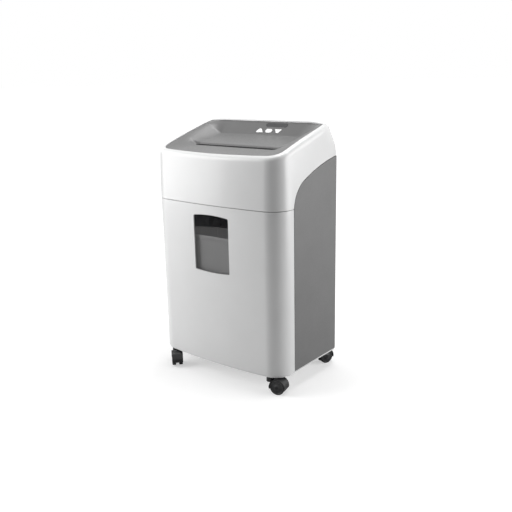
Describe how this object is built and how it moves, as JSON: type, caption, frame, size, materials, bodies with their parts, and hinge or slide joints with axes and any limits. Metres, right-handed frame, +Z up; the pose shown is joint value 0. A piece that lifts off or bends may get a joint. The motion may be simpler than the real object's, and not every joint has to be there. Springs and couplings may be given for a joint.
{
  "type": "paper shredder",
  "caption": "Console paper shredder: light bowed front with a window, dark side panels, sloping feed deck with keys, cutting head, pull-out bin, casters.",
  "frame": {"origin": "on the floor, under the middle of the machine's bounding box with the casters as modelled", "axes": "+Z up, the bin front faces -Y, +X to the right seen from the front"},
  "size_m": [0.3593, 0.258, 0.561],
  "materials": {
    "shell": "satin light grey moulding with a metallic sheen",
    "side": "fine-grained dark grey",
    "deck": "fine-grained mid grey",
    "sheet_steel": "black powder coat",
    "zinc_plate": "zinc plated",
    "black_plastic": "fine grain",
    "cutter_steel": "ground tool steel",
    "gear_nylon": "natural nylon",
    "bronze": "sintered bronze",
    "winding": "enamelled copper and laminations",
    "circuit_board": "solder mask",
    "board_part": "moulded",
    "capacitor": "sleeved can",
    "key_white": "white",
    "display": "smoked",
    "red_plastic": "red",
    "bin_plastic": "fine grain",
    "smoked_window": "smoked clear moulding",
    "wheel": "hard tread"
  },
  "bodies": {
    "cabinet": {"base_plate": "shell", "inner_wall_left": "sheet_steel", "inner_wall_right": "sheet_steel", "side_panel_left": "side", "side_panel_right": "side", "rear_panel": "side", "mechanism_shelf": "sheet_steel", "bin_rails": "black_plastic", "head_cover": "shell", "feed_deck": "deck", "throat_guide": "black_plastic", "gear_side_plate": "zinc_plate", "board_side_plate": "zinc_plate", "tie_rods": "zinc_plate", "shaft_bushes": "bronze", "stripper_comb_front": "black_plastic", "stripper_comb_rear": "black_plastic", "idler_axle": "zinc_plate", "motor_can": "zinc_plate", "motor_stator": "winding", "motor_cradle": "sheet_steel", "control_board": "circuit_board", "board_parts": "board_part", "motor_capacitor": "capacitor", "key_board": "circuit_board", "display_lens": "display", "sensor_bracket": "black_plastic", "power_inlet": "black_plastic", "switch_bezel": "black_plastic", "interlock_switch": "black_plastic", "panel_screws": "zinc_plate", "caster_sockets": "black_plastic"},
    "bin": {"waste_bin": "bin_plastic", "front_panel": "shell", "window_lens": "smoked_window", "bin_clips": "black_plastic"},
    "front_cutter": {"front_shaft": "cutter_steel", "front_discs": "cutter_steel", "front_sync_gear": "cutter_steel"},
    "rear_cutter": {"rear_shaft": "cutter_steel", "rear_discs": "cutter_steel", "rear_sync_gear": "cutter_steel", "drive_gear": "gear_nylon"},
    "idler": {"idler_gear": "gear_nylon"},
    "rotor": {"motor_rotor": "cutter_steel", "motor_fan": "black_plastic"},
    "forward_key": {"key_forward": "key_white"},
    "stop_key": {"key_stop": "key_white"},
    "reverse_key": {"key_reverse": "key_white"},
    "paper_sensor": {"sensor_lever": "gear_nylon"},
    "rocker": {"power_rocker": "red_plastic"},
    "plunger": {"interlock_plunger": "red_plastic"},
    "swivel_front_left": {"caster_front_left": "black_plastic"},
    "wheel_pair_front_left": {"wheels_front_left": "wheel"},
    "swivel_front_right": {"caster_front_right": "black_plastic"},
    "wheel_pair_front_right": {"wheels_front_right": "wheel"},
    "swivel_rear_left": {"caster_rear_left": "black_plastic"},
    "wheel_pair_rear_left": {"wheels_rear_left": "wheel"},
    "swivel_rear_right": {"caster_rear_right": "black_plastic"},
    "wheel_pair_rear_right": {"wheels_rear_right": "wheel"}
  },
  "joints": [
    {"name": "bin_slide", "type": "slide", "parent": "cabinet", "child": "bin", "axis": [0, -1, 0], "range_m": [0, 0.2]},
    {"name": "rear_cutter_spin", "type": "hinge", "parent": "cabinet", "child": "rear_cutter", "pos_m": [0, -0.001, 0.44], "axis": [1, 0, 0], "continuous": true},
    {"name": "front_cutter_spin", "type": "hinge", "parent": "cabinet", "child": "front_cutter", "pos_m": [0, -0.037, 0.44], "axis": [1, 0, 0], "continuous": true},
    {"name": "idler_spin", "type": "hinge", "parent": "cabinet", "child": "idler", "pos_m": [0, 0.03497, 0.43547], "axis": [1, 0, 0], "continuous": true},
    {"name": "motor_spin", "type": "hinge", "parent": "cabinet", "child": "rotor", "pos_m": [0, 0.06, 0.452], "axis": [1, 0, 0], "continuous": true},
    {"name": "forward_key_press", "type": "slide", "parent": "cabinet", "child": "forward_key", "axis": [0, 0.7623, -0.6472], "range_m": [0, 0.0012], "stiffness_N_per_m": 400},
    {"name": "stop_key_press", "type": "slide", "parent": "cabinet", "child": "stop_key", "axis": [0, 0.7623, -0.6472], "range_m": [0, 0.0012], "stiffness_N_per_m": 400},
    {"name": "reverse_key_press", "type": "slide", "parent": "cabinet", "child": "reverse_key", "axis": [0, 0.7623, -0.6472], "range_m": [0, 0.0012], "stiffness_N_per_m": 400},
    {"name": "sensor_tilt", "type": "hinge", "parent": "cabinet", "child": "paper_sensor", "pos_m": [0, -0.034, 0.485], "axis": [1, 0, 0], "range_deg": [-30, 0], "stiffness_Nm_per_rad": 0.002},
    {"name": "rocker_tilt", "type": "hinge", "parent": "cabinet", "child": "rocker", "pos_m": [0.06, 0.103, 0.44], "axis": [1, 0, 0], "range_deg": [0, 16]},
    {"name": "interlock_press", "type": "slide", "parent": "cabinet", "child": "plunger", "axis": [0, 1, 0], "range_m": [0, 0.003], "stiffness_N_per_m": 200},
    {"name": "swivel_front_left_turn", "type": "hinge", "parent": "cabinet", "child": "swivel_front_left", "pos_m": [-0.14, -0.094, 0], "axis": [0, 0, 1], "continuous": true},
    {"name": "swivel_front_right_turn", "type": "hinge", "parent": "cabinet", "child": "swivel_front_right", "pos_m": [0.14, -0.094, 0], "axis": [0, 0, 1], "continuous": true},
    {"name": "swivel_rear_left_turn", "type": "hinge", "parent": "cabinet", "child": "swivel_rear_left", "pos_m": [-0.14, 0.0893, 0], "axis": [0, 0, 1], "continuous": true},
    {"name": "swivel_rear_right_turn", "type": "hinge", "parent": "cabinet", "child": "swivel_rear_right", "pos_m": [0.14, 0.0893, 0], "axis": [0, 0, 1], "continuous": true},
    {"name": "wheels_front_left_spin", "type": "hinge", "parent": "swivel_front_left", "child": "wheel_pair_front_left", "pos_m": [-0.1261, -0.10696, 0.0165], "axis": [0.682, 0.7314, 0], "continuous": true},
    {"name": "wheels_front_right_spin", "type": "hinge", "parent": "swivel_front_right", "child": "wheel_pair_front_right", "pos_m": [0.15844, -0.0894, 0.0165], "axis": [-0.2419, 0.9703, 0], "continuous": true},
    {"name": "wheels_rear_left_spin", "type": "hinge", "parent": "swivel_rear_left", "child": "wheel_pair_rear_left", "pos_m": [-0.15762, 0.09642, 0.0165], "axis": [-0.3746, -0.9272, 0], "continuous": true},
    {"name": "wheels_rear_right_spin", "type": "hinge", "parent": "swivel_rear_right", "child": "wheel_pair_rear_right", "pos_m": [0.1465, 0.10715, 0.0165], "axis": [-0.9397, 0.342, 0], "continuous": true}
  ],
  "couplings": [
    {"joint": "front_cutter_spin", "follows": "rear_cutter_spin", "ratio": -1},
    {"joint": "idler_spin", "follows": "rear_cutter_spin", "ratio": -3.1429},
    {"joint": "motor_spin", "follows": "rear_cutter_spin", "ratio": 12.571}
  ]
}
